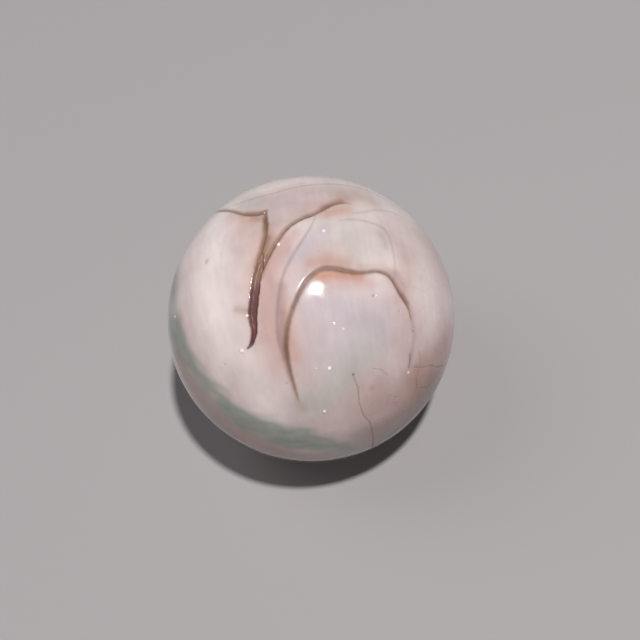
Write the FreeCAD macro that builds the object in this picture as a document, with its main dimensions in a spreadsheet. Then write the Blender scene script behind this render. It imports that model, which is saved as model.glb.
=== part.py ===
# A glass playing marble, 16 mm across: an opaque white core with the streams of glass that
# were folded over it while it was hot.  Every stream is a solid of its own, and neighbours
# meet along the fold seams.
#
# Frame: origin at the centre of the ball, +Z up, with the marble resting as it lies on a
# table.  The streams are drawn on a "face": a map of the ball in degrees, right and up from
# the face's pole.  Each sub-part is modelled with that pole up, and its Placement then tilts
# the face towards -Y.
import FreeCAD, Part
import Sketcher
import math
import os

# Driving dimensions: alias, value (mm or degrees), what it is.
SIZES = (
    ("ball_diameter", 16.0, "outside of the ball"),
    ("face_tilt", 36.0, "degrees from +Z to the pole of the face, towards -Y"),
    ("face_roll", 12.0, "degrees that the face is turned clockwise about its pole"),
    ("lobe_depth", 2.4, "thickness of a folded lobe of white glass"),
    ("ribbon_depth", 1.5, "thickness of the green ribbon"),
    ("tint_depth", 0.9, "thickness of the tan tinted glass"),
    ("vein_depth", 1.3, "how far a dark fold vein reaches below the surface"),
    ("flow_depth", 0.45, "how far a pale flow line reaches below the surface"),
    ("fold_groove", 0.12, "how far the dark veins lie below the surface"),
    ("flow_groove", 0.03, "how far the flow lines lie below the surface"),
    ("fissure_width", 0.42, "widest stretch of the open fissure"),
    ("rim_width", 0.20, "vein that runs up from the fissure along the left lobe"),
    ("brow_width", 0.19, "vein across the top of the left lobe"),
    ("arch_width", 0.19, "vein from the fissure to the crown"),
    ("dome_width", 0.21, "vein round the dome"),
    ("flow_width", 0.13, "flow lines"),
    ("ribbon_width", 2.5, "green ribbon"),
)

# Walls between streams run straight to the ball's centre.  They are drawn between two
# planes, given here as shares of the ball's radius, well outside it and well inside it.
WALL_TOP = 1.5
WALL_FOOT = 0.15

# Seams that two or more streams follow, in map degrees: right, up, share of the width.
FISSURE = ((-18.5, 25, 0), (-19.5, 19, 0.85), (-20.5, 13, 0.95), (-21, 7, 1), (-21.5, 2, 1),
           (-21, -4, 0.7), (-23.5, -11, 0))
RIM = ((-19, 46, 0), (-19, 42, 1), (-18, 37, 1), (-18, 32, 0.8), (-19, 27, 0.9), (-20, 19, 0))
BROW = ((-56, 61, 0), (-44, 54.5, 0.8), (-37, 50.5, 0.8), (-28, 45.5, 1), (-22, 44.5, 1),
        (-19, 44.7, 0))
ARCH = ((17, 50, 0), (10, 49, 0.8), (2.5, 43.5, 1), (-7, 38, 0.9), (-12.5, 31, 0.9),
        (-16, 24, 1), (-19, 16, 0))
DOME = ((-5, -31, 0), (-7.5, -21, 0.9), (-9, -12, 1.1), (-8, -1, 0.8), (-5, 7.5, 0.8),
        (0, 15.5, 0.8), (4.5, 18.3, 1), (11, 18, 1.1), (19, 17.2, 0.7), (27, 18, 0.6),
        (31, 16, 0.7), (35, 10, 0.9), (38, 6, 0.8), (40, 0, 0))
INNER_FLOW = ((2, 43, 0), (-1, 34, 0.8), (-6, 25, 1), (-10, 16.5, 1), (-12, 5, 1),
              (-12, -6, 1), (-8.7, -16.5, 0))
UPPER_FLOW = ((11, 39.5, 0), (18, 40.5, 1), (25, 40, 1), (31, 37.5, 1), (33, 31, 0.9),
              (33.5, 23, 0.8), (32.4, 14, 0))
SHOULDER_FLOW = ((17, 44, 0), (21, 45, 1), (28, 48, 1), (38, 50, 1), (46, 49, 0))
CROWN_FLOW = ((-45, 55, 0), (-31, 56, 0.8), (-19, 57.5, 1), (-5, 62, 1), (9, 65, 1),
              (25, 66, 1), (38, 62, 0.8), (49, 57, 0))
RIBBON = ((-78, 26, 0), (-70, 12, 0.6), (-67, -3, 0.9), (-62, -16, 1), (-53, -28, 1.05),
          (-42, -38, 1), (-30, -46, 0.95), (-17, -50.5, 0.95), (-4, -52.5, 0.85),
          (8, -56, 0.5), (18, -61, 0))


def along(seam):
    """The points of a seam without its widths."""
    return tuple((right, up) for right, up, share in seam)


# Lobes, topmost first: outline in map degrees.  A lobe's own seams come first, and the rest
# of its outline runs on under the lobes that lie over it.  It leaves each seam before the
# seam's pointed end, at a clear angle.
LEFT_LOBE = (along(BROW)[1:-1] + ((-19.6, 44.1),) + along(RIM)[1:-1] + along(FISSURE)[1:-1]
             + ((-26, -9), (-33, -16), (-43, -22), (-53, -24), (-62, -12), (-68, 8),
                (-84, 30), (-78, 47), (-62, 55)))
DOME_LOBE = along(DOME)[1:-1] + ((37, -3), (38, -12), (35, -23), (27, -31), (16, -36),
                                 (5, -36), (-1, -30))
CENTRE_LOBE = (along(ARCH)[1:-1] + ((-23, 14), (-27, 4), (-28, -8), (-29, -20), (-25, -31),
                                    (-13, -36), (-2, -36), (1, -28), (-3, -20))
               + along(INNER_FLOW)[-2:0:-1] + ((5, 40), (12, 43.5), (14, 46)))
TAN_SLIVER = ((-9, 14.5), (-15, 8), (-16, -4), (-13, -14), (-8, -20), (-4, -12), (-3, -2),
              (-1, 7), (-4, 13))
UPPER_LOBE = (((4, 42), (-5, 36), (-11, 27), (-15, 15), (-16, 4), (-16, -6), (-12, -16),
               (-8, -21), (-4, -14), (-3, -4), (0, 6), (10, 12), (22, 12), (30, 8))
              + along(UPPER_FLOW)[-2:0:-1] + ((12, 42),))
TAN_WEDGE = ((-21, 39), (-22, 33), (-23, 24), (-19, 17), (-12, 24), (-8, 32), (-6, 36),
             (-11, 41), (-16, 43))
CROWN_LOBE = along(CROWN_FLOW)[1:-1] + ((56, 64), (66, 78), (50, 102), (10, 116), (-30, 108),
                                        (-58, 88), (-54, 67))
CORNER_LOBE = ((-62, 57), (-48, 49), (-36, 45), (-27, 39), (-24, 28), (-20, 17), (-13, 22),
               (-6, 33), (2, 38), (10, 44), (19, 48), (21, 60), (12, 70), (-5, 68),
               (-20, 63), (-36, 63), (-54, 68))
SHOULDER_LOBE = ((12, 54), (7, 45), (10, 35), (25, 34), (28, 24), (32, 11), (46, 21),
                 (62, 26), (80, 28), (96, 32), (92, 52), (74, 68), (52, 70), (38, 69),
                 (24, 72), (12, 70))
TAN_INCLUSION = ((43, -12), (47, -17), (57, -20), (66, -23), (63, -31), (55, -36), (48, -39),
                 (44.5, -30), (42, -19))
RIGHT_FLANK = ((32, 20), (31, 5), (31, -8), (28, -18), (21, -26), (20, -37), (25, -46),
               (29, -57), (34, -70), (50, -84), (78, -78), (98, -52), (110, -20), (106, 12),
               (94, 42), (78, 36), (60, 33), (44, 29))


def heading(right, up):
    """The direction from the ball's centre to a point of the map, in the face's frame."""
    away = math.radians(math.hypot(right, up))
    turn = math.atan2(up, right)
    return FreeCAD.Vector(math.sin(away) * math.cos(turn), math.sin(away) * math.sin(turn),
                          math.cos(away))


def beside(seam, width, side):
    """A seam's edge: its points moved sideways by their share of half the width, in degrees."""
    edge = []
    last = len(seam) - 1
    for index, (right, up, share) in enumerate(seam):
        before = seam[max(index - 1, 0)]
        after = seam[min(index + 1, last)]
        run = (after[0] - before[0], after[1] - before[1])
        offset = side * share * width / 2 / math.hypot(*run)
        edge.append((right - run[1] * offset, up + run[0] * offset))
    return edge


class Marble:
    """The document, its sheet of sizes, and what the streams laid so far cut away."""

    def __init__(self):
        self.doc = FreeCAD.newDocument("Marble")
        self.sheet = self.doc.addObject("Spreadsheet::Sheet", "Sizes")
        for row, (alias, value, meaning) in enumerate(SIZES, start=1):
            self.sheet.set("A" + str(row), meaning)
            self.sheet.set("B" + str(row), str(value))
            self.sheet.setAlias("B" + str(row), alias)
        self.doc.recompute()
        self.walls = {}
        self.slots = {}
        self.depths = {}
        self.nodes = []
        self.spheres = {}

    def size(self, alias):
        """A size as the sheet holds it."""
        return float(self.sheet.get(alias))

    def sphere(self, below=None):
        """A ball round the centre, below the surface by a size of the sheet."""
        if below not in self.spheres:
            ball = self.doc.addObject("Part::Sphere", "Ball_" + (below or "surface"))
            depth = " - Sizes." + below if below else ""
            ball.setExpression("Radius", "Sizes.ball_diameter / 2" + depth)
            # The sphere's own poles lie left and right, and its seam runs behind the face.
            ball.Placement.Rotation = FreeCAD.Rotation(FreeCAD.Vector(0, 1, 0), 90)
            self.spheres[below] = ball
        return self.spheres[below]

    def wall(self, name, edges, pole):
        """A solid whose walls run from the ball's centre through closed edges of the map."""
        turn = FreeCAD.Rotation(FreeCAD.Vector(0, 0, 1), heading(*pole))
        sections = []
        for share in (WALL_TOP, WALL_FOOT):
            height = share * self.size("ball_diameter") / 2
            outline = self.doc.addObject("Sketcher::SketchObject", name + "_outline")
            outline.Placement = FreeCAD.Placement(turn.multVec(FreeCAD.Vector(0, 0, height)), turn)
            for edge in edges:
                points = []
                for right, up in edge:
                    ray = turn.inverted().multVec(heading(right, up))
                    points.append(FreeCAD.Vector(ray.x, ray.y, 0) * (height / ray.z))
                curve = Part.BSplineCurve()
                curve.interpolate(Points=points, PeriodicFlag=len(edges) == 1)
                outline.addGeometry(curve, False)
            if len(edges) == 2:
                outline.addConstraint(Sketcher.Constraint("Coincident", 0, 1, 1, 1))
                outline.addConstraint(Sketcher.Constraint("Coincident", 0, 2, 1, 2))
            sections.append(outline)
        solid = self.doc.addObject("Part::Loft", name + "_wall")
        solid.Sections = sections
        solid.Solid = True
        solid.Ruled = True
        return solid

    def combine(self, kind, name, base, tool):
        """A boolean of two objects: Part::Cut or Part::Common."""
        result = self.doc.addObject(kind, name)
        result.Base = base
        result.Tool = tool
        result.Refine = False
        return result

    def give_way(self, name, solid, depth, under):
        """Cut a stream by those that lie over it: right through by one that is as deep."""
        for over in under:
            through = self.depths[over] >= self.size(depth)
            tool = self.walls[over] if through else self.slots[over]
            solid = self.combine("Part::Cut", name + "_under_" + over, solid, tool)
        self.finish(solid, name)

    def lay(self, name, edges, pole, depth, groove=None, under=()):
        """Make one stream: its wall, cut off at its depth, its top and the streams over it."""
        wall = self.wall(name, edges, pole)
        slot = self.combine("Part::Cut", name + "_slot", wall, self.sphere(depth))
        blank = self.combine("Part::Common", name + "_blank", slot, self.sphere(groove))
        self.give_way(name, blank, depth, under)
        self.walls[name] = wall
        self.slots[name] = slot
        self.depths[name] = self.size(depth)

    def vein(self, name, seam, width, pole, depth, groove=None, under=()):
        """A stream that follows a seam and is pointed at both ends."""
        degrees = math.degrees(self.size(width) / (self.size("ball_diameter") / 2))
        edges = (beside(seam, degrees, 1), beside(seam, degrees, -1))
        self.lay(name, edges, pole, depth, groove, under)

    def lobe(self, name, outline, pole, depth, under=()):
        """A stream with one smooth closed outline."""
        self.lay(name, (outline,), pole, depth, None, under)

    def base(self, name, under):
        """The rest of the skin round the core, where no lobe covers it."""
        skin = self.combine("Part::Cut", name + "_blank", self.sphere(), self.sphere("lobe_depth"))
        self.give_way(name, skin, "lobe_depth", under)

    def core(self, name):
        """The ball of white glass that the streams were laid on."""
        ball = self.doc.addObject("Part::Sphere", name)
        ball.setExpression("Radius", "Sizes.ball_diameter / 2 - Sizes.lobe_depth")
        self.finish(ball, name)

    def finish(self, solid, name):
        """Name a sub-part and turn it from the face's frame to the way the marble rests."""
        solid.Label = name
        solid.setExpression("Placement", (
            "placement(vector(0; 0; 0); rotation(vector(1; 0; 0); Sizes.face_tilt)"
            " * rotation(vector(0; 0; 1); -Sizes.face_roll))"))
        self.nodes.append(solid)


def dark_veins(marble):
    """Oxblood glass in the folds: it lies in open grooves."""
    marble.vein("fissure_vein", FISSURE, "fissure_width", (-21, 5), "vein_depth", "fold_groove")
    marble.vein("rim_vein", RIM, "rim_width", (-19, 32), "vein_depth", "fold_groove",
                ("fissure_vein",))
    marble.vein("brow_vein", BROW, "brow_width", (-35, 50), "vein_depth", "fold_groove",
                ("rim_vein",))
    marble.vein("arch_vein", ARCH, "arch_width", (-3, 36), "vein_depth", "fold_groove",
                ("fissure_vein", "rim_vein"))
    marble.vein("dome_vein", DOME, "dome_width", (10, 2), "vein_depth", "fold_groove")


def flow_lines(marble):
    """Thin grey lines where white glass flowed against white glass."""
    marble.vein("inner_flow_line", INNER_FLOW, "flow_width", (-7, 12), "flow_depth",
                "flow_groove", ("arch_vein", "dome_vein"))
    marble.vein("upper_flow_line", UPPER_FLOW, "flow_width", (26, 33), "flow_depth",
                "flow_groove", ("dome_vein",))
    marble.vein("shoulder_flow_line", SHOULDER_FLOW, "flow_width", (30, 47), "flow_depth",
                "flow_groove")
    marble.vein("crown_flow_line", CROWN_FLOW, "flow_width", (3, 60), "flow_depth",
                "flow_groove")


def coloured_streams(marble):
    """The green ribbon round the lower left, and the tan glass among the folds."""
    marble.vein("seafoam_ribbon", RIBBON, "ribbon_width", (-38, -30), "ribbon_depth")
    marble.lobe("tan_inclusion", TAN_INCLUSION, (53, -25), "tint_depth")


def lobes(marble):
    """Folded lobes of white glass, topmost first, with the tan glass between them."""
    marble.lobe("left_lobe", LEFT_LOBE, (-48, 14), "lobe_depth",
                ("fissure_vein", "rim_vein", "brow_vein", "seafoam_ribbon"))
    marble.lobe("dome_lobe", DOME_LOBE, (14, -8), "lobe_depth", ("dome_vein",))
    marble.lobe("centre_lobe", CENTRE_LOBE, (-9, 6), "lobe_depth",
                ("left_lobe", "dome_lobe", "fissure_vein", "arch_vein", "dome_vein",
                 "inner_flow_line"))
    marble.lobe("tan_sliver", TAN_SLIVER, (-8, -2), "tint_depth",
                ("dome_lobe", "centre_lobe", "dome_vein", "inner_flow_line"))
    marble.lobe("upper_lobe", UPPER_LOBE, (12, 26), "lobe_depth",
                ("dome_lobe", "centre_lobe", "tan_sliver", "dome_vein", "inner_flow_line",
                 "upper_flow_line"))
    marble.lobe("tan_wedge", TAN_WEDGE, (-15, 33), "tint_depth",
                ("left_lobe", "centre_lobe", "fissure_vein", "rim_vein", "arch_vein"))
    marble.lobe("crown_lobe", CROWN_LOBE, (0, 84), "lobe_depth", ("crown_flow_line",))
    marble.lobe("corner_lobe", CORNER_LOBE, (-15, 52), "lobe_depth",
                ("left_lobe", "centre_lobe", "crown_lobe", "tan_wedge", "fissure_vein",
                 "rim_vein", "brow_vein", "arch_vein", "crown_flow_line"))
    marble.lobe("shoulder_lobe", SHOULDER_LOBE, (50, 46), "lobe_depth",
                ("dome_lobe", "centre_lobe", "upper_lobe", "crown_lobe", "corner_lobe",
                 "arch_vein", "dome_vein", "upper_flow_line", "shoulder_flow_line",
                 "crown_flow_line"))
    marble.lobe("right_flank", RIGHT_FLANK, (66, -22), "lobe_depth",
                ("dome_lobe", "shoulder_lobe", "tan_inclusion", "dome_vein"))


def check(marble):
    """Stop before anything is written if an object failed or a sub-part isn't one solid."""
    for item in marble.doc.Objects:
        if "Invalid" in item.State or "Error" in item.State:
            raise RuntimeError(item.Name + " failed: " + ", ".join(item.State))
    for node in marble.nodes:
        shape = node.Shape
        if shape.isNull() or not shape.isValid():
            raise RuntimeError(node.Label + " has no valid shape")
        print("%-20s solids %d  volume %9.3f mm3" % (node.Label, len(shape.Solids), shape.Volume))
        if len(shape.Solids) != 1:
            raise RuntimeError(node.Label + " isn't one solid")


def main():
    marble = Marble()
    dark_veins(marble)
    flow_lines(marble)
    coloured_streams(marble)
    lobes(marble)
    marble.base("white_base", ("left_lobe", "dome_lobe", "centre_lobe", "upper_lobe",
                               "crown_lobe", "corner_lobe", "shoulder_lobe", "right_flank",
                               "seafoam_ribbon"))
    marble.core("white_core")
    marble.doc.recompute()
    check(marble)
    os.makedirs("parts", exist_ok=True)
    for node in marble.nodes:
        node.Shape.exportStep(os.path.join("parts", node.Label + ".step"))


main()
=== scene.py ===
import math

import bmesh
import bpy
import numpy as np
from mathutils import Matrix, Vector, noise
from mathutils.bvhtree import BVHTree
from mathutils.kdtree import KDTree


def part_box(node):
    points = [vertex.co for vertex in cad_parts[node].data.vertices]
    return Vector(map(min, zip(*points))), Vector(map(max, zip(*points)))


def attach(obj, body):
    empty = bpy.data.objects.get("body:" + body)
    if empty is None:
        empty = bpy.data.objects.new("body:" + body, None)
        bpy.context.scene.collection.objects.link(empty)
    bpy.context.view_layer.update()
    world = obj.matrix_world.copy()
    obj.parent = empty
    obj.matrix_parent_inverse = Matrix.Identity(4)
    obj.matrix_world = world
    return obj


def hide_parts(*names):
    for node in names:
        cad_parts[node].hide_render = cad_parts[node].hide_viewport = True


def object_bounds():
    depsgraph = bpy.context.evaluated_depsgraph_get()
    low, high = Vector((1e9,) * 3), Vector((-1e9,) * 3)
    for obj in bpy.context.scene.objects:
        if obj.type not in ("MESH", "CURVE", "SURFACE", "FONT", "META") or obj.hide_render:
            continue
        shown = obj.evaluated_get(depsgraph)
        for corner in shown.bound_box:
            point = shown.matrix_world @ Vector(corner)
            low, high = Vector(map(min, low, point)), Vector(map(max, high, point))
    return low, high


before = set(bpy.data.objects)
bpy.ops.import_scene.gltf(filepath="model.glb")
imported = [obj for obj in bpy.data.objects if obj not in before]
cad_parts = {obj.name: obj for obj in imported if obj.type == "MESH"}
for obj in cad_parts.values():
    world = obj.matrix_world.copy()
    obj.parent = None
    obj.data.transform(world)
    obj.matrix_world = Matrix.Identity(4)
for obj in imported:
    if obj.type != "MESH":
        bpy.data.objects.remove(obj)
cad_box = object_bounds()

MM = 0.001
RADIUS = (cad_box[1][2] - cad_box[0][2]) / 2 / MM
CORE_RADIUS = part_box("white_core")[1][2] / MM

# The folded face: its pole leans from +Z towards -Y and is turned about itself.  Places on it
# are map degrees, (right, up) of the pole.
FACE_TILT = 36.0
FACE_ROLL = 12.0
FACE = Matrix.Rotation(math.radians(FACE_TILT), 3, "X") @ Matrix.Rotation(
    math.radians(-FACE_ROLL), 3, "Z")

# Fold lines: node, depth of the groove, how far its lip rounds over, how ragged the lip is
# (mm), and the glass that stains it with its strength.
FOLDS = (
    ("fissure_vein", 0.19, 0.08, 0.045, "OXBLOOD", 1.0),
    ("rim_vein", 0.12, 0.08, 0.03, "UMBER", 0.9),
    ("brow_vein", 0.09, 0.09, 0.01, "UMBER", 0.85),
    ("arch_vein", 0.11, 0.10, 0.03, "UMBER", 0.9),
    ("dome_vein", 0.10, 0.10, 0.02, "UMBER", 0.78),
    ("inner_flow_line", 0.020, 0.13, 0.0, "GREY", 0.55),
    ("upper_flow_line", 0.008, 0.14, 0.0, "GREY", 0.35),
    ("shoulder_flow_line", 0.006, 0.14, 0.0, "GREY", 0.30),
    ("crown_flow_line", 0.010, 0.14, 0.0, "GREY", 0.45),
)
# A fold shapes and stains the glass up to FOLD_REACH beside it, and the sloping wall of its
# groove ends WALL inside it (mm).
FOLD_REACH = 0.4
WALL = 0.10

# How far beside the green ribbon its glass is looked for (mm).
RIBBON_REACH = 2.5

# Hairline cracks: half width in mm, then the course in map degrees.
CRACKS = (
    (0.035, ((15.6, -20.5), (16.4, -23), (18, -26), (19, -33), (21.5, -39.5), (25, -44))),
    (0.030, ((25, -44), (28, -52), (31, -62), (33, -70))),
    (0.045, ((40, -14.5), (40.4, -17), (40.2, -20))),
    (0.030, ((45, -13.5), (46.5, -17), (46.5, -21), (45.5, -26), (47, -31), (46, -37))),
    (0.030, ((43, -20), (48, -21), (54, -21), (60, -23), (68, -24))),
    (0.025, ((24, -19), (27, -19.5), (30, -22))),
    (0.025, ((49, -31), (55, -32.5), (60, -29))),
)
CRACK_DEPTH = 0.035

# Slow unevenness of the ball: height in mm, how fine it is (per mm) and the noise's seed.
SWELL = ((0.018, 0.22, 3), (0.006, 0.7, 11))

# Small marks: map degrees, radius and height in mm.  Beads stand proud and pits go in.
MARKS = (
    (-26, -12, 0.13, 0.050), (-23.6, 1.2, 0.11, 0.050), (6.8, -18, 0.12, 0.040),
    (5.3, -36, 0.11, 0.050), (-12.3, 28.3, 0.12, 0.040), (5, 34, 0.12, 0.020),
    (8.4, -1.8, 0.09, 0.014), (11.7, -3.6, 0.08, 0.012), (-65, 1, 0.10, 0.030),
    (2, -18, 0.06, 0.015), (40, -22, 0.09, 0.030), (23.3, 8.6, 0.10, -0.030),
    (16, -21, 0.10, -0.030), (-44.4, 24.6, 0.22, -0.012), (-34, -18, 0.09, -0.014),
    (36, -33, 0.10, -0.020), (34, 3, 0.09, -0.015), (41, -5, 0.08, -0.015),
    (-9, -24, 0.10, -0.012), (24, -27, 0.20, -0.010),
)

# Glass colours as sRGB, together with a painted shade colour and a white for painted glints.
MILK = (244, 235, 233)
CREAM = (211, 194, 191)
LILAC = (200, 191, 197)
MINT = (184, 186, 178)
BLUSH = (203, 172, 168)
ROSE = (182, 152, 147)
APRICOT = (206, 158, 138)
TAN = (177, 145, 130)
SIENNA = (146, 112, 92)
UMBER = (112, 84, 70)
OXBLOOD = (108, 72, 72)
SEAFOAM = (136, 149, 138)
OLIVE = (160, 154, 134)
# painted shade colour for the underside and the lower right
UNDERSIDE_SHADE = (102, 95, 86)
GREY = (150, 138, 142)
# white for painted glints laid on the beads, standing for the lamp's highlights on them
PAINTED_GLINT = (255, 250, 248)

# Soft tints: colour, strength, spread in degrees, and the course of the tint in map degrees.
TINTS = (
    # lobes of the face
    (MILK, 0.95, 13, ((-46, 46), (-42, 26), (-40, 8), (-38, 0))),
    (MILK, 0.55, 9, ((-64, 20), (-60, 38), (-26, 66), (16, 72), (50, 54))),
    (MILK, 0.45, 9, ((-26, -18), (-18, -30))),
    (LILAC, 0.9, 12, ((6, 4), (14, 0), (12, -12), (27, -4))),
    (MINT, 0.45, 7, ((14, 32), (22, 31), (8, 36))),
    (MINT, 0.65, 8, ((4, -32), (12, -22), (20, -14))),
    (LILAC, 0.8, 5, ((-6, 22), (0, 30), (6, 36))),
    (LILAC, 0.5, 6, ((-4, 52), (-12, 46), (-14, 40))),
    (BLUSH, 1.0, 4.5, ((-13, 30), (-16, 18), (-16.5, 6), (-15.5, -4))),
    (BLUSH, 0.4, 3.5, ((-15, -6), (-11, -16))),
    (BLUSH, 0.3, 4, ((-25, 42), (-24, 30), (-25, 14))),
    (MILK, 0.3, 8, ((44, 40), (52, 28))),
    (MINT, 0.5, 5, ((-31, 54), (-22, 52))),
    (OLIVE, 0.3, 4, ((14, 55), (20, 54), (28, 52))),
    (ROSE, 0.8, 12, ((28, -34), (38, -36), (46, -26), (34, -48))),
    (ROSE, 0.8, 10, ((54, -22), (64, -14), (62, -36))),
    (TAN, 0.8, 5, ((46, -26), (50, -33), (54, -30))),
    # below the ribbon, and painted shade round the underside
    (ROSE, 0.6, 9, ((-50, -44), (-34, -60), (0, -70))),
    # painted shade: darker bands along the underside and the lower right, standing for the shade
    # there
    (UNDERSIDE_SHADE, 0.9, 13, ((-50, -58), (-24, -72), (8, -78), (36, -70), (62, -48))),
    (UNDERSIDE_SHADE, 0.6, 12, ((-108, -58), (-80, -62), (-60, -60))),
    (UNDERSIDE_SHADE, 0.5, 12, ((66, -48), (86, -54), (110, -56))),
    (UNDERSIDE_SHADE, 0.30, 8, ((24, -52), (36, -50), (56, -32))),
    # smoky streaks
    (BLUSH, 0.5, 6, ((34, 8), (39, 4), (38, -8))),
    (GREY, 0.14, 0.7, ((-34, 38), (-35, 30), (-34.5, 20))),
    (GREY, 0.12, 0.6, ((-29, 27), (-27.5, 26.5))),
    (GREY, 0.16, 0.8, ((-68, 16), (-64, 8), (-62, 0))),
    # the unseen side, where the green ribbon runs on
    (MILK, 0.8, 13, ((-96, 74), (-30, 98), (40, 94), (88, 60))),
    (MINT, 0.8, 12, ((-60, 114), (0, 124), (64, 112))),
    (MILK, 0.9, 15, ((132, -44), (150, 0), (124, 62))),
    (ROSE, 0.5, 12, ((92, -18), (104, 12), (96, 34))),
    (SEAFOAM, 0.80, 6, ((-70, 17), (-90, 28), (-106, 34), (-130, 30), (-152, 8), (-162, -24))),
    (SEAFOAM, 0.65, 5, ((18, -64), (44, -86), (66, -104), (72, -130), (50, -150))),
)

# Veils of colour across the unseen side: colour, strength, the axis they cross, how many half
# waves they make over a radius and their shift in radians.
VEILS = (
    (MILK, 0.7, (0.3, 0.9, 0.3), 5.0, 0.0),
    (LILAC, 0.6, (-0.4, 0.5, 0.8), 4.4, 0.8),
    (SEAFOAM, 0.7, (0.8, 0.2, 0.6), 2.6, 1.9),
    (TAN, 0.5, (0.75, 0.15, 0.65), 2.8, 3.0),
)

# Tints that hug a fold: colour, strength, spread in degrees, course in map degrees.
GLOWS = (
    (APRICOT, 1.0, 2.3, ((3, 15.2), (8, 16), (13, 15.8), (18, 15.4))),
    (BLUSH, 0.5, 3.0, ((3, 12), (12, 13), (22, 13))),
    (TAN, 0.45, 2.3, ((0, 20.5), (6, 21.3), (13, 20.3))),
    (APRICOT, 0.22, 3.2, ((0, 21), (5, 22.5), (12, 22))),
    (TAN, 0.35, 2.0, ((18, 19.5), (28, 19.5), (33, 17))),
    (APRICOT, 0.40, 2.6, ((-9, 4), (-7.2, -6), (-6, -14))),
    (APRICOT, 0.20, 2.0, ((-12.5, -4), (-12, -11), (-10, -17))),
    (SIENNA, 0.6, 1.5, ((-10.4, 2), (-10.4, -6), (-9.2, -14))),
    (ROSE, 0.75, 2.1, ((-10.6, 12), (-10.8, 4), (-10.2, -8))),
    (TAN, 0.55, 2.4, ((-16.5, 37), (-16.5, 31), (-17.5, 25))),
    (SIENNA, 0.8, 2.2, ((-17.4, 31), (-18, 25), (-19.2, 17))),
    (SIENNA, 0.9, 1.7, ((-19.5, 22), (-20.2, 15), (-20.9, 9))),
    (APRICOT, 0.25, 2.2, ((-22.5, 40), (-21.5, 34), (-21.8, 24), (-23.5, 12))),
    (APRICOT, 0.35, 2.6, ((-36, 47), (-26, 42))),
    (APRICOT, 0.5, 2.4, ((6, 42), (11, 44.5), (15, 46))),
    (TAN, 0.26, 3.2, ((-12, 36), (-6, 41), (4, 47), (14, 53))),
    (TAN, 0.3, 2.6, ((12, 51), (17, 53))),
    (BLUSH, 0.6, 2.2, ((-6, 33), (-10, 25))),
    (TAN, 0.35, 2.4, ((31, 17), (36, 11))),
    (GREY, 0.30, 1.5, ((28, 35), (30, 31), (30, 29))),
    (GREY, 0.35, 1.6, ((34, 18), (36, 14))),
    (ROSE, 0.6, 1.6, ((-24, 3), (-28, 3.6))),
    (TAN, 0.35, 1.6, ((-4.5, -32), (-3, -35))),
    (ROSE, 0.7, 6, ((-62, -24), (-49, -39), (-36, -52), (-20, -61))),
    (CREAM, 0.22, 5, ((-48, -28), (-43, -33))),
    (SIENNA, 0.5, 1.5, ((5, 46), (10, 49.5), (13, 51))),
    (SIENNA, 0.6, 0.9, ((36, 9.5), (38, 6.5))),
    (SIENNA, 0.5, 1.2, ((-28, 46), (-22, 45))),
    (TAN, 0.7, 2.0, ((-23.5, 42.4), (-22, 41.6))),
    (SIENNA, 0.6, 1.0, ((-18.9, 41), (-18.5, 34.7))),
    (SIENNA, 0.7, 0.9, ((-20.8, 45.2), (-19.2, 45.6))),
    (GREY, 0.35, 0.9, ((39.5, 1), (41.5, -6), (41, -12), (40.3, -17))),
    (BLUSH, 0.5, 5, ((39, 24), (38, 16))),
    (OXBLOOD, 0.25, 1.0, ((40, -14.5), (40.3, -17.5), (40.2, -19.5))),
)

# What lies on top comes off the ball first.  Walls of a later piece reach a little into what
# is gone already, so that nothing is left between the two (mm).
PEEL = (
    (("fissure_vein", "rim_vein", "brow_vein", "arch_vein", "dome_vein"), 0.0),
    (("inner_flow_line", "upper_flow_line", "shoulder_flow_line", "crown_flow_line"), 0.004),
    (("seafoam_ribbon", "tan_inclusion", "tan_sliver", "tan_wedge"), 0.02),
    (("left_lobe", "dome_lobe", "centre_lobe", "upper_lobe", "crown_lobe", "corner_lobe",
      "shoulder_lobe", "right_flank"), 0.03),
)

SLOTS = {
    "fissure_vein": "oxblood_glass", "rim_vein": "oxblood_glass", "brow_vein": "oxblood_glass",
    "arch_vein": "oxblood_glass", "dome_vein": "oxblood_glass",
    "inner_flow_line": "grey_glass", "upper_flow_line": "grey_glass",
    "shoulder_flow_line": "grey_glass", "crown_flow_line": "grey_glass",
    "seafoam_ribbon": "seafoam_glass", "tan_inclusion": "tan_glass", "tan_sliver": "tan_glass",
    "tan_wedge": "tan_glass", "right_flank": "blush_glass",
}


# ------------------------------------------------------------------------------ helpers

def heading(right, up):
    """Direction of a place on the face's map."""
    away = math.radians(math.hypot(right, up))
    turn = math.atan2(up, right)
    return FACE @ Vector((math.sin(away) * math.cos(turn), math.sin(away) * math.sin(turn),
                          math.cos(away)))


def smooth(low, high, value):
    """0 below low, 1 above high and a smooth step between them."""
    share = np.clip((value - low) / (high - low), 0, 1)
    return share * share * (3 - 2 * share)


def linear(colour):
    """An sRGB colour of 0 to 255 as scene-linear values."""
    share = np.array(colour) / 255
    return np.where(share <= 0.04045, share / 12.92, ((share + 0.055) / 1.055) ** 2.4)


def course(places, step=0.5):
    """Directions along a course of map places, a step of degrees apart."""
    line = []
    for start, end in zip(places, places[1:]):
        a, b = heading(*start), heading(*end)
        count = max(1, math.ceil(math.degrees(a.angle(b)) / step))
        line.extend(a.slerp(b, i / count) for i in range(count))
    line.append(heading(*places[-1]))
    return np.array(line)


def degrees_from(directions, places):
    """Angle in degrees from each direction to a course of map places."""
    line = course(places)
    nearest = np.max(directions @ line.T, axis=1)
    return np.degrees(np.arccos(np.clip(nearest, -1, 1)))


def grain(points, scale, seed):
    """Smooth noise from -1 to 1 at each point."""
    shift = Vector((seed, 2 * seed, -seed))
    return np.array([noise.noise(Vector(p) * scale + shift) for p in points])


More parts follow.
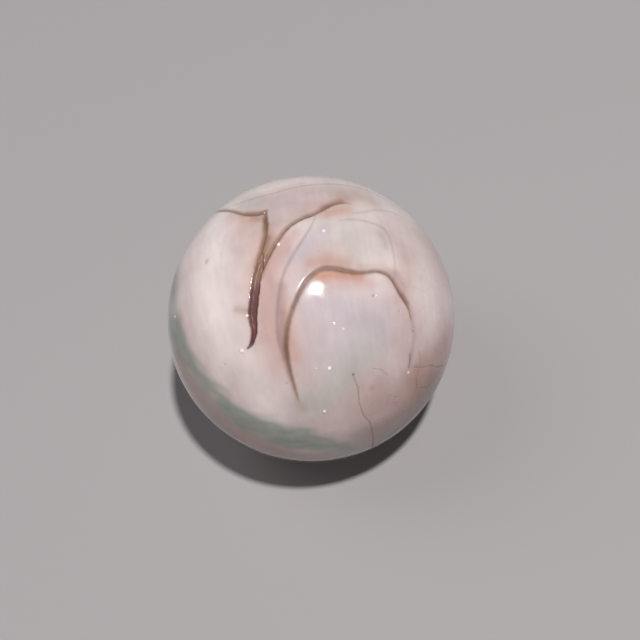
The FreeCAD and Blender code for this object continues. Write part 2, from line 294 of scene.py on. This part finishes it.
def tree_of(points):
    """A search tree that finds the nearest of the points."""
    tree = KDTree(len(points))
    for index, point in enumerate(points):
        tree.insert(point, index)
    tree.balance()
    return tree


def gap_to(directions, places):
    """Millimetres along the ball from each direction to a course of map places."""
    return np.radians(degrees_from(directions, places)) * RADIUS


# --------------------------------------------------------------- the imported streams

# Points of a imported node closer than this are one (metres).
SAME_POINT = 1e-7


def stream(node):
    """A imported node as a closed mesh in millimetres."""
    mesh = bmesh.new()
    mesh.from_mesh(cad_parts[node].data)
    bmesh.ops.remove_doubles(mesh, verts=mesh.verts, dist=SAME_POINT)
    bmesh.ops.scale(mesh, vec=(1 / MM,) * 3, verts=mesh.verts)
    mesh.normal_update()
    return mesh


class Patch:
    """The part of the ball's outside that one stream covers."""

    # How near the outside a stream's skin counts as being on it, and how far apart the
    # places along its rim are (mm).
    EDGE = 0.003
    STEP = 0.02

    def __init__(self, node):
        mesh = stream(node)
        top = max(vertex.co.length for vertex in mesh.verts) - self.EDGE
        skin = {face for face in mesh.faces if all(v.co.length > top for v in face.verts)}
        points = []
        polygons = []
        samples = []
        for face in skin:
            polygons.append(tuple(range(len(points), len(points) + len(face.verts))))
            points.extend(vertex.co.normalized() * RADIUS for vertex in face.verts)
        for edge in mesh.edges:
            if sum(face in skin for face in edge.link_faces) == 1:
                start, end = (vertex.co.normalized() * RADIUS for vertex in edge.verts)
                count = math.ceil((start - end).length / self.STEP)
                samples.extend(start.lerp(end, i / count) for i in range(count + 1))
        mesh.free()
        self.samples = samples
        self.tree = BVHTree.FromPolygons(points, polygons)
        self.rim = tree_of(samples)

    def distance(self, points, reach):
        """Millimetres to the rim: negative inside the patch, and reach where it is further."""
        result = np.full(len(points), float(reach))
        for index, point in enumerate(points):
            place = self.tree.find_nearest(point, reach)[0]
            if place is None:
                continue
            radial = Vector(point).normalized()
            offset = Vector(point) - place
            offset -= radial * offset.dot(radial)
            away = self.rim.find(point)[2]
            result[index] = -away if offset.length < self.EDGE else away
        return result


# -------------------------------------------------------------------- the ball's skin

# The ball's mesh is split within FINE of a fold, crack or mark, again within FINER, and once
# more within FINEST of a mark (mm).
FINE = 0.42
FINER = 0.20
FINEST = 0.16


def refine(mesh, near, reach):
    """Split every edge that comes within reach of the points in the tree near."""
    edges = [edge for edge in mesh.edges
             if near.find((edge.verts[0].co + edge.verts[1].co) / 2)[2] < reach]
    bmesh.ops.subdivide_edges(mesh, edges=edges, cuts=1)
    bmesh.ops.triangulate(mesh, faces=[face for face in mesh.faces if len(face.verts) > 3])
    for vertex in mesh.verts:
        vertex.co = vertex.co.normalized() * RADIUS


def ball(patches):
    """Points and triangles of the whole round ball, finest at the folds and the marks."""
    mesh = bmesh.new()
    bmesh.ops.create_icosphere(mesh, subdivisions=7, radius=RADIUS)
    marks = [heading(right, up) * RADIUS for right, up, radius, height in MARKS]
    cracks = [Vector(p) * RADIUS for half, places in CRACKS for p in course(places)]
    folds = [p for patch in patches.values() for p in patch.samples]
    detail = folds + cracks + marks
    for near, reach in ((detail, FINE), (detail, FINER), (marks, FINEST)):
        refine(mesh, tree_of(near), reach)
    mesh.verts.ensure_lookup_table()
    points = np.array([vertex.co for vertex in mesh.verts])
    triangles = np.array([[vertex.index for vertex in face.verts] for face in mesh.faces])
    mesh.free()
    return points, triangles


def relief(points, away):
    """Height of the real surface over the round ball at each point, in mm."""
    directions = points / RADIUS
    height = sum(rise * grain(points, scale, seed) for rise, scale, seed in SWELL)
    for node, depth, lip, ragged, stain, strength in FOLDS:
        gap = away[node]
        close = gap < FOLD_REACH
        height[close] -= depth * (1 - smooth(max(gap.min(), -WALL), lip, gap[close]))
    for half, places in CRACKS:
        height -= CRACK_DEPTH * (1 - smooth(0.2 * half, 1.6 * half, gap_to(directions, places)))
    for right, up, radius, rise in MARKS:
        share = gap_to(directions, ((right, up), (right, up))) / radius
        height += rise * np.sqrt(np.clip(1 - share ** 2, 0, 1))
    # Sunk so that all but the tips of the beads stay inside the round ball.
    return height - max(0.0, np.percentile(height, 99.9))


class Coat:
    """Scene-linear colour of the glass at each point, laid on layer by layer."""

    def __init__(self, points):
        self.points = points
        self.directions = points / RADIUS
        self.warp = np.stack([grain(points, 0.35, seed) for seed in (5, 17, 31)], axis=1)
        self.slow = np.stack([grain(points, 0.13, seed) for seed in (7, 23, 47)], axis=1)
        self.wisp = grain(points * np.array((1, 1, 2.2)), 0.9, 71)
        self.fade = 0.86 + 0.28 * grain(points, 0.6, 83)
        pole = np.array(FACE @ Vector((0, 0, 1)))
        upward = np.array(FACE @ Vector((0, 1, 0)))
        self.behind = 1 - smooth(-0.35, 0.1, self.directions @ pole)
        self.rise = np.degrees(np.arcsin(np.clip(self.directions @ upward, -1, 1)))
        self.colour = np.tile(linear(CREAM), (len(points), 1))

    def lay(self, glass, share):
        """Cover the colours so far with a share of another glass."""
        self.colour += (linear(glass) - self.colour) * np.clip(share, 0, 1)[:, None]

    def swirls(self):
        """Wide soft swirls of milk and blush through the cream."""
        swirl = grain(self.points * np.array((1, 1.6, 0.7)), 0.28, 43)
        self.lay(MILK, 0.5 * smooth(0.0, 0.5, swirl))
        self.lay(BLUSH, 0.35 * smooth(0.1, 0.5, -swirl))

    def courses(self, layers, directions):
        """Soft bands of colour along courses on the map."""
        for glass, strength, spread, places in layers:
            self.lay(glass, strength * np.exp(-(degrees_from(directions, places) / spread) ** 2))

    def drift(self):
        """The directions pushed about by slow noise, more so on the unseen side."""
        pushed = self.directions + (0.06 + 0.14 * self.behind)[:, None] * self.warp
        return pushed / np.linalg.norm(pushed, axis=1)[:, None]

    def veils(self):
        """Wavy veils across the unseen side, each with a thin grey line along its edges."""
        for glass, strength, axis, count, shift in VEILS:
            across = self.directions + 0.6 * self.slow
            wave = across @ np.array(axis) + 0.10 * self.warp[:, 0]
            crest = np.sin(count * math.pi * wave + shift) + 0.12 * self.wisp
            self.lay(glass, strength * self.behind * smooth(0.45, 0.85, crest))
            self.lay(GREY, 0.28 * self.behind * np.exp(-((crest - 0.45) / 0.18) ** 2))

    def ribbon(self, gap):
        """Seafoam glass over the ribbon, with wispy edges, fainter where it runs upwards."""
        green = (1 - smooth(-0.45, 0.45, gap + 0.45 * self.wisp)) * (0.86 + 0.2 * self.wisp)
        self.lay(SEAFOAM, green * (1 - 0.75 * smooth(-2, 6, self.rise)))

    def stains(self, away):
        """Dark glass in the folds.  The fissure's oxblood turns brown towards its top."""
        for node, depth, lip, ragged, stain, strength in FOLDS:
            gap = away[node]
            if stain == "OXBLOOD":
                self.lay(SIENNA, 0.85 * (1 - smooth(-0.02, 0.14, gap)))
                self.lay(OXBLOOD, strength * (1 - smooth(-0.02, 0.10, gap))
                         * (1 - 0.8 * smooth(9, 17, self.rise)))
            elif stain == "UMBER":
                self.lay(SIENNA, 0.55 * (1 - smooth(-0.05, 0.18, gap)))
                self.lay(UMBER, strength * self.fade * (1 - smooth(-0.10, 0.05, gap)))
            else:
                self.lay(GREY, strength * self.fade * (1 - smooth(-0.07, 0.10, gap)))

    def cracks(self):
        """Darker brown along the cracks."""
        for half, places in CRACKS:
            gap = gap_to(self.directions, places)
            self.lay(UMBER, 0.4 * self.fade * (1 - smooth(0.3 * half, 1.8 * half, gap)))

    def marks(self):
        """Beads painted white as painted glints, and brown pits, clearer the higher or deeper they
        are.
        """
        for right, up, radius, rise in MARKS:
            # beads get a painted glint of white; pits get brown
            glass, most = (PAINTED_GLINT, 1.0) if rise > 0 else (SIENNA, 0.5)
            share = most * min(1, 0.3 + abs(rise) / 0.05)
            gap = gap_to(self.directions, ((right, up), (right, up)))
            self.lay(glass, share * (1 - smooth(0.4 * radius, radius, gap)))


def tints(points, away, ribbon):
    """Colour of the glass at each point, scene-linear, with painted shade round the underside and
    painted glints on the beads.
    """
    coat = Coat(points)
    coat.swirls()
    coat.courses(TINTS, coat.drift())
    coat.veils()
    coat.ribbon(ribbon)
    coat.courses(GLOWS, coat.directions)
    coat.stains(away)
    coat.cracks()
    coat.marks()
    return coat.colour


# ------------------------------------------------------------------------ cutting it up

# A cutter's top and foot are moved to these shares of their distance from the centre.
CUTTER_TOP = 1.1
CUTTER_FOOT = 0.95

# A stream's point is on a wall where its normal leans this far from the ball's radius (sine).
WALL_LEAN = 0.3

# Distances in mm: a stream's foot lies less than NEAR_CORE above the core, points closer than
# WELD are one, and places nearer than ON_SKIN to the ball's surface are on it.
NEAR_CORE = 0.02
WELD = 1e-5
ON_SKIN = 2e-4


def new_object(name, data):
    """A new object in the scene."""
    made = bpy.data.objects.new(name, data)
    bpy.context.scene.collection.objects.link(made)
    return made


def combine(body, tool, operation):
    """Mesh of body inside tool (INTERSECT), or of body with tool cut away (DIFFERENCE)."""
    first = new_object("first", body)
    second = new_object("second", tool)
    cut = first.modifiers.new("cut", "BOOLEAN")
    cut.solver = "MANIFOLD"
    cut.operation = operation
    cut.object = second
    ready = first.evaluated_get(bpy.context.evaluated_depsgraph_get())
    result = bpy.data.meshes.new_from_object(ready)
    bpy.data.objects.remove(first)
    bpy.data.objects.remove(second)
    if not result.polygons:
        raise RuntimeError("nothing is left of " + body.name + " after " + tool.name)
    return result


def cutter(node, spread):
    """The stream, run on out of the ball and into the core, its walls pushed out by spread."""
    mesh = stream(node)
    top = max(vertex.co.length for vertex in mesh.verts) - Patch.EDGE
    places = {}
    for vertex in mesh.verts:
        radial = vertex.co.normalized()
        aside = vertex.normal - radial * vertex.normal.dot(radial)
        place = vertex.co + (aside.normalized() * spread if aside.length > WALL_LEAN else Vector())
        if vertex.co.length > top:
            place = place * CUTTER_TOP
        elif vertex.co.length < CORE_RADIUS + NEAR_CORE:
            place = place * CUTTER_FOOT
        places[vertex] = place
    for vertex, place in places.items():
        vertex.co = place
    data = bpy.data.meshes.new(node + "_cutter")
    mesh.to_mesh(data)
    mesh.free()
    return data


def tidy(mesh, least=0.02):
    """Weld the mesh and drop crumbs with under a share of the largest shell's faces."""
    work = bmesh.new()
    work.from_mesh(mesh)
    bmesh.ops.remove_doubles(work, verts=work.verts, dist=WELD)
    bmesh.ops.dissolve_degenerate(work, edges=work.edges, dist=WELD)
    bmesh.ops.triangulate(work, faces=work.faces)
    shells = []
    unseen = set(work.faces)
    while unseen:
        shell = {unseen.pop()}
        waiting = list(shell)
        while waiting:
            face = waiting.pop()
            for edge in face.edges:
                for other in edge.link_faces:
                    if other in unseen:
                        unseen.remove(other)
                        shell.add(other)
                        waiting.append(other)
        shells.append(shell)
    most = max(len(shell) for shell in shells)
    crumbs = [face for shell in shells if len(shell) < least * most for face in shell]
    bmesh.ops.delete(work, geom=crumbs, context="FACES")
    work.to_mesh(mesh)
    work.free()


def dress(piece_mesh, skin_tree, points, triangles, normals, colour):
    """Give a cut piece the ball's own smooth normals and colours at its outside."""
    count = len(piece_mesh.vertices)
    vertex_colour = np.ones((count, 4), dtype=np.float32)
    vertex_normal = np.zeros((count, 3))
    on_skin = np.zeros(count, dtype=bool)
    for index, vertex in enumerate(piece_mesh.vertices):
        place, facing, triangle, gap = skin_tree.find_nearest(vertex.co)
        corners = points[triangles[triangle]]
        shares = barycentric(np.array(place), corners)
        vertex_colour[index, :3] = shares @ colour[triangles[triangle]]
        vertex_normal[index] = shares @ normals[triangles[triangle]]
        on_skin[index] = gap < ON_SKIN
    layer = piece_mesh.attributes.new("glass", "FLOAT_COLOR", "POINT")
    layer.data.foreach_set("color", vertex_colour.ravel())
    custom = []
    for face in piece_mesh.polygons:
        outside = all(on_skin[v] for v in face.vertices)
        for vertex in face.vertices:
            custom.append(vertex_normal[vertex] if outside else face.normal)
    piece_mesh.transform(Matrix.Scale(MM, 4))
    piece_mesh.shade_smooth()
    piece_mesh.normals_split_custom_set(custom)


def barycentric(place, corners):
    """The shares that a triangle's three corners have in a place on it.

    A triangle with no area gives all to its first corner."""
    a, b, c = corners
    across, along, out = b - a, c - a, place - a
    d00, d01, d11 = across @ across, across @ along, along @ along
    d20, d21 = out @ across, out @ along
    size = d00 * d11 - d01 * d01
    if size < 1e-18:
        return np.array((1.0, 0.0, 0.0))
    second = (d11 * d20 - d01 * d21) / size
    third = (d00 * d21 - d01 * d20) / size
    return np.clip(np.array((1 - second - third, second, third)), 0, 1)


# --------------------------------------------------------------------------- materials

def glass(name, rough=0.115, mottle=0.06, craze=0.0, streak=0.04):
    """Opaque glass: the laid tints, mottled and streaked, under a glossy uneven surface.

    mottle, craze and streak are how strongly each shows, as a share of the colour."""
    material = bpy.data.materials.new(name)
    material.use_nodes = True
    nodes = material.node_tree.nodes
    links = material.node_tree.links
    shader = nodes["Principled BSDF"]
    shader.inputs["IOR"].default_value = 1.52
    place = nodes.new("ShaderNodeTexCoord")
    scale = nodes.new("ShaderNodeMapping")
    scale.inputs["Scale"].default_value = (1 / MM,) * 3
    links.new(place.outputs["Object"], scale.inputs["Vector"])

    def noise_at(size, detail, stretch=None):
        vector = scale.outputs["Vector"]
        if stretch:
            turned = nodes.new("ShaderNodeMapping")
            turned.inputs["Rotation"].default_value = FACE.to_euler()
            turned.inputs["Scale"].default_value = stretch
            links.new(vector, turned.inputs["Vector"])
            vector = turned.outputs["Vector"]
        texture = nodes.new("ShaderNodeTexNoise")
        texture.inputs["Scale"].default_value = size
        texture.inputs["Detail"].default_value = detail
        links.new(vector, texture.inputs["Vector"])
        return texture.outputs["Fac"]

    def spread(value, low, high, start=0.3, end=0.7):
        ranged = nodes.new("ShaderNodeMapRange")
        ranged.inputs["From Min"].default_value = start
        ranged.inputs["From Max"].default_value = end
        ranged.inputs["To Min"].default_value = low
        ranged.inputs["To Max"].default_value = high
        links.new(value, ranged.inputs["Value"])
        return ranged.outputs["Result"]

    def times(colour, value):
        mix = nodes.new("ShaderNodeVectorMath")
        mix.operation = "SCALE"
        links.new(colour, mix.inputs[0])
        links.new(value, mix.inputs["Scale"])
        return mix.outputs["Vector"]

    laid = nodes.new("ShaderNodeAttribute")
    laid.attribute_name = "glass"
    colour = laid.outputs["Color"]
    clouds = noise_at(size=0.8, detail=7)
    colour = times(colour, spread(clouds, 1 - mottle, 1 + mottle))
    streaks = noise_at(size=1.2, detail=4, stretch=(2.5, 0.35, 1.0))
    colour = times(colour, spread(streaks, 1 - streak, 1 + streak))
    specks = nodes.new("ShaderNodeTexVoronoi")
    specks.inputs["Scale"].default_value = 1.3
    links.new(scale.outputs["Vector"], specks.inputs["Vector"])
    speckled = spread(specks.outputs["Distance"], low=0.72, high=1.0, start=0.02, end=0.05)
    colour = times(colour, speckled)
    if craze:
        net = nodes.new("ShaderNodeTexVoronoi")
        net.feature = "DISTANCE_TO_EDGE"
        net.inputs["Scale"].default_value = 0.9
        warped = nodes.new("ShaderNodeVectorMath")
        warped.operation = "MULTIPLY_ADD"
        warped.inputs[1].default_value = (0.5,) * 3
        wobble = nodes.new("ShaderNodeTexNoise")
        wobble.inputs["Scale"].default_value = 0.8
        wobble.inputs["Detail"].default_value = 5
        links.new(scale.outputs["Vector"], wobble.inputs["Vector"])
        links.new(wobble.outputs["Color"], warped.inputs[0])
        links.new(scale.outputs["Vector"], warped.inputs[2])
        links.new(warped.outputs["Vector"], net.inputs["Vector"])
        lines = spread(net.outputs["Distance"], low=1 - craze, high=1.0, start=0.0, end=0.035)
        colour = times(colour, lines)
    links.new(colour, shader.inputs["Base Color"])
    worn = spread(noise_at(size=2.2, detail=5), low=rough * 0.6, high=rough * 1.3)
    links.new(worn, shader.inputs["Roughness"])
    ripple = nodes.new("ShaderNodeBump")
    ripple.inputs["Strength"].default_value = 0.25
    ripple.inputs["Distance"].default_value = 0.009 * MM
    links.new(noise_at(size=1.6, detail=3), ripple.inputs["Height"])
    dust = nodes.new("ShaderNodeBump")
    dust.inputs["Strength"].default_value = 0.25
    dust.inputs["Distance"].default_value = 0.003 * MM
    links.new(noise_at(size=14, detail=2), dust.inputs["Height"])
    links.new(ripple.outputs["Normal"], dust.inputs["Normal"])
    links.new(dust.outputs["Normal"], shader.inputs["Normal"])
    return material


def core_glass():
    """White glass of the buried core, with slow clouds."""
    material = bpy.data.materials.new("core_glass")
    material.use_nodes = True
    nodes = material.node_tree.nodes
    links = material.node_tree.links
    clouds = nodes.new("ShaderNodeTexNoise")
    clouds.inputs["Scale"].default_value = 0.5 / MM
    clouds.inputs["Detail"].default_value = 6
    shade = nodes.new("ShaderNodeValToRGB")
    shade.color_ramp.elements[0].color = (*linear(BLUSH), 1)
    shade.color_ramp.elements[1].color = (*linear(MILK), 1)
    place = nodes.new("ShaderNodeTexCoord")
    links.new(place.outputs["Object"], clouds.inputs["Vector"])
    links.new(clouds.outputs["Fac"], shade.inputs["Fac"])
    links.new(shade.outputs["Color"], nodes["Principled BSDF"].inputs["Base Color"])
    nodes["Principled BSDF"].inputs["Roughness"].default_value = 0.2
    return material


# --------------------------------------------------------------------------- the marble

def marble():
    """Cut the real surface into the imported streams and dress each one."""
    patches = {fold[0]: Patch(fold[0]) for fold in FOLDS}
    points, triangles = ball(patches)
    tatter = grain(points, 3.4, 29)
    away = {node: patches[node].distance(points, FOLD_REACH) + ragged * tatter
            for node, depth, lip, ragged, stain, strength in FOLDS}
    ribbon = Patch("seafoam_ribbon").distance(points, RIBBON_REACH)
    colour = tints(points, away, ribbon)
    points = points * (1 + relief(points, away) / RADIUS)[:, None]

    body = bpy.data.meshes.new("ball")
    body.from_pydata(points.tolist(), [], triangles.tolist())
    body.update()
    normals = np.zeros(len(points) * 3)
    body.vertices.foreach_get("normal", normals)
    normals = normals.reshape(-1, 3)
    skin_tree = BVHTree.FromPolygons(points.tolist(), triangles.tolist())

    core = stream("white_core")
    core_mesh = bpy.data.meshes.new("core")
    core.to_mesh(core_mesh)
    core.free()
    rest = combine(body, core_mesh, "DIFFERENCE")
    pieces = {}
    for nodes, spread in PEEL:
        for node in nodes:
            tool = cutter(node, spread)
            pieces[node] = combine(rest, tool, "INTERSECT")
            rest = combine(rest, tool, "DIFFERENCE")
    pieces["white_base"] = rest

    looks = {
        "white_glass": glass("white_glass"),
        "blush_glass": glass("blush_glass", craze=0.07, rough=0.20),
        "seafoam_glass": glass("seafoam_glass", mottle=0.07),
        "tan_glass": glass("tan_glass", mottle=0.09, rough=0.20),
        "oxblood_glass": glass("oxblood_glass", mottle=0.12, rough=0.5),
        "grey_glass": glass("grey_glass"),
    }
    for node, mesh in pieces.items():
        tidy(mesh)
        dress(mesh, skin_tree, points, triangles, normals, colour)
        piece = new_object(node + "_glass", mesh)
        slot = SLOTS.get(node, "white_glass")
        mesh.materials.clear()
        mesh.materials.append(looks[slot])
        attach(piece, "root")
        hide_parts(node)
        print("piece", node, len(mesh.vertices), len(mesh.polygons))
    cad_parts["white_core"].data.materials.clear()
    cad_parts["white_core"].data.materials.append(core_glass())


# ------------------------------------------------------------------- floor, light, camera

LAMP_DISTANCE = 0.5
EYE_DISTANCE = 8.6 * RADIUS * MM


def lamp(name, toward, size, power, colour):
    """A round soft light that shines at the marble from a direction."""
    light = bpy.data.lights.new(name, "AREA")
    light.shape = "DISK"
    light.size = size
    light.energy = power
    light.color = colour
    stand = new_object(name, light)
    stand.location = toward.normalized() * LAMP_DISTANCE
    stand.rotation_euler = toward.to_track_quat("Z", "Y").to_euler()
    return stand


def sweep():
    """A plain pale floor that curves up into a low wall all round."""
    low = cad_box[0][2]
    flat = 0.30
    bend = 0.10
    wall = 0.06
    turns = 96
    steps = 16
    profile = [(0.02, low), (0.12, low)]
    for index in range(steps + 1):
        turn = math.pi / 2 * index / steps
        profile.append((flat + bend * math.sin(turn), low + bend * (1 - math.cos(turn))))
    profile.append((flat + bend, low + bend + wall))
    points = [(0, 0, low)]
    for away, height in profile:
        points.extend((away * math.cos(2 * math.pi * i / turns),
                       away * math.sin(2 * math.pi * i / turns), height) for i in range(turns))
    faces = [(0, 1 + i, 1 + (i + 1) % turns) for i in range(turns)]
    for ring in range(len(profile) - 1):
        first = 1 + ring * turns
        for i in range(turns):
            after = (i + 1) % turns
            faces.append((first + i, first + turns + i, first + turns + after, first + after))
    mesh = bpy.data.meshes.new("floor")
    mesh.from_pydata(points, [], faces)
    mesh.shade_smooth()
    paper = bpy.data.materials.new("paper")
    paper.use_nodes = True
    shader = paper.node_tree.nodes["Principled BSDF"]
    shader.inputs["Base Color"].default_value = (0.40, 0.39, 0.40, 1)
    shader.inputs["Roughness"].default_value = 0.9
    mesh.materials.append(paper)
    new_object("floor", mesh)


def studio():
    """Key and fill lamps and a faint even sky.  The wide fill leaves no reflection."""
    lamp("key", toward=Vector((0.140, -0.264, 0.954)), size=0.030, power=2.26,
         colour=(1.0, 0.955, 0.94))
    fill = lamp("fill", toward=Vector((-0.50, 0.16, 0.84)), size=0.35, power=0.46,
                colour=(1.0, 0.97, 0.96))
    fill.visible_glossy = False

    world = bpy.data.worlds.new("studio")
    world.use_nodes = True
    world.node_tree.nodes["Background"].inputs["Color"].default_value = (0.90, 0.93, 1.0, 1)
    world.node_tree.nodes["Background"].inputs["Strength"].default_value = 0.03
    bpy.context.scene.world = world
    bpy.context.scene.view_settings.view_transform = "Standard"


def camera():
    """The photographer's view, square on to the folded face."""
    data = bpy.data.cameras.new("camera")
    data.lens = 69.4
    data.sensor_width = 36
    data.shift_x = 0.0142
    data.shift_y = -0.0016
    data.clip_start = 0.005
    eye = new_object("camera", data)
    place = FACE.to_4x4()
    place.translation = FACE @ Vector((0, 0, EYE_DISTANCE))
    eye.matrix_world = place
    bpy.context.scene.camera = eye


marble()
sweep()
studio()
camera()
